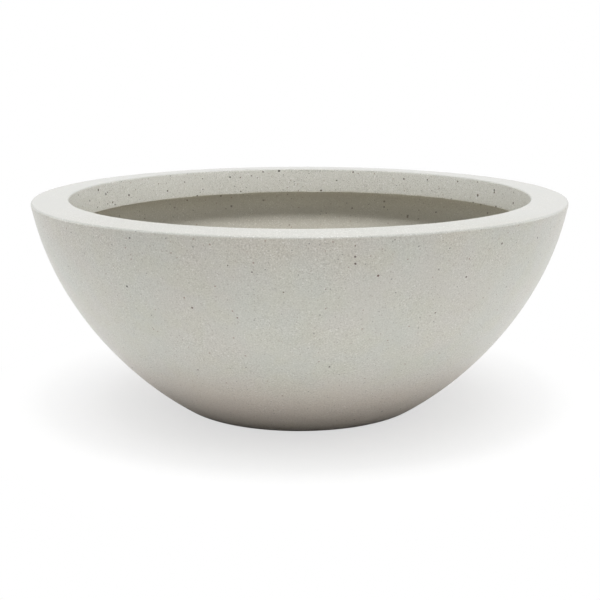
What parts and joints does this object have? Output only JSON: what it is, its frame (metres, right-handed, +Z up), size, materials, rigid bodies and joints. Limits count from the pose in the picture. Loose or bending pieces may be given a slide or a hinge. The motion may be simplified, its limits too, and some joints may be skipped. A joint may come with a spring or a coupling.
{
  "type": "fiberclay planter",
  "caption": "Low round planter bowl in pale speckled fibre clay, with a broad flat rim turned down inside as a collar, a stoppered drain hole and rubber foot pads.",
  "frame": {"origin": "on the ground under the centre of the bowl, in the plane of the foot pads' treads", "axes": "+Z up the bowl's centre line; the bowl is round, so +X and +Y only set the foot pads' places, at 45 degrees to both"},
  "size_m": [0.4992, 0.499, 0.1999],
  "materials": {
    "fibre_clay": "matte, cast, pale warm grey with fine brown, grey and rust specks",
    "stopper_rubber": "matte moulded black rubber",
    "pad_rubber": "matte moulded charcoal rubber"
  },
  "bodies": {
    "planter": {"bowl": "fibre_clay", "foot_pad_1": "pad_rubber", "foot_pad_2": "pad_rubber", "foot_pad_3": "pad_rubber", "foot_pad_4": "pad_rubber"},
    "stopper": {"drain_stopper": "stopper_rubber"}
  },
  "joints": [
    {"name": "stopper_pull", "type": "slide", "parent": "planter", "child": "stopper", "axis": [0, 0, 1], "range_m": [0, 0.22]}
  ]
}
